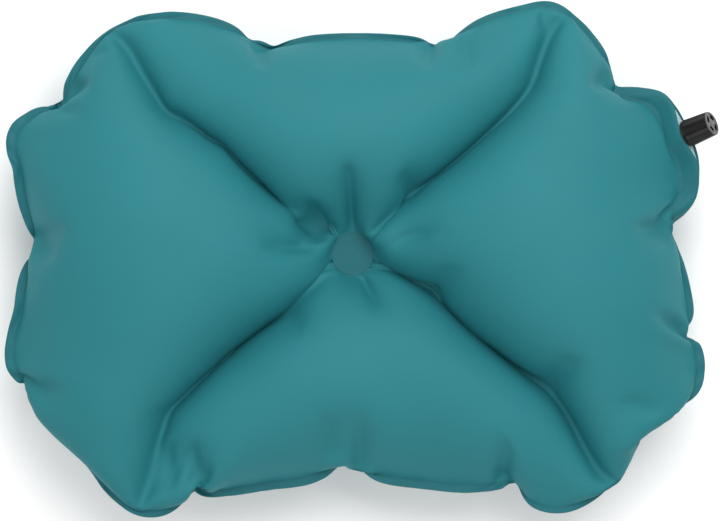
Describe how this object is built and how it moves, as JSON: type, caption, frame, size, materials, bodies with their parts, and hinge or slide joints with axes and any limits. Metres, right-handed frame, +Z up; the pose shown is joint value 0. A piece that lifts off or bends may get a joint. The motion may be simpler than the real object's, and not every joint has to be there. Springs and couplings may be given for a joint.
{
  "type": "inflatable camp pillow",
  "caption": "Inflated camp pillow: a fabric cushion pinched at its centre into crossed creases, with a welded flange and a ribbed twist valve at one corner.",
  "frame": {"origin": "centre of the bounding box in plan, on the floor that the pillow lies on", "axes": "+X along the long side towards the valve, +Y along the short side towards the valve's corner, +Z up through the inflated thickness"},
  "size_m": [0.3842, 0.276, 0.1004],
  "materials": {
    "panel_fabric": "matt woven polyester with a coated inner face",
    "weld_film": "pale blue-grey weldable film",
    "valve_plastic": "satin black moulding",
    "seal_rubber": "matt black"
  },
  "bodies": {
    "pillow": {"top_panel": "panel_fabric", "bottom_panel": "panel_fabric", "valve_boat": "weld_film", "valve_stem": "valve_plastic", "plug_spider": "valve_plastic", "plug_washer": "seal_rubber"},
    "seal": {"cap_seal": "seal_rubber"},
    "cap": {"valve_cap": "valve_plastic"}
  },
  "joints": [
    {"name": "cap_lift", "type": "slide", "parent": "pillow", "child": "seal", "axis": [0.7972, 0.3384, 0.5], "range_m": [0, 0.003]},
    {"name": "cap_twist", "type": "hinge", "parent": "seal", "child": "cap", "pos_m": [0.17522, 0.0678, 0.0535], "axis": [0.7972, 0.3384, 0.5], "range_deg": [0, 360]}
  ],
  "couplings": [
    {"joint": "cap_lift", "follows": "cap_twist", "m_per_rad": 0.000477}
  ]
}
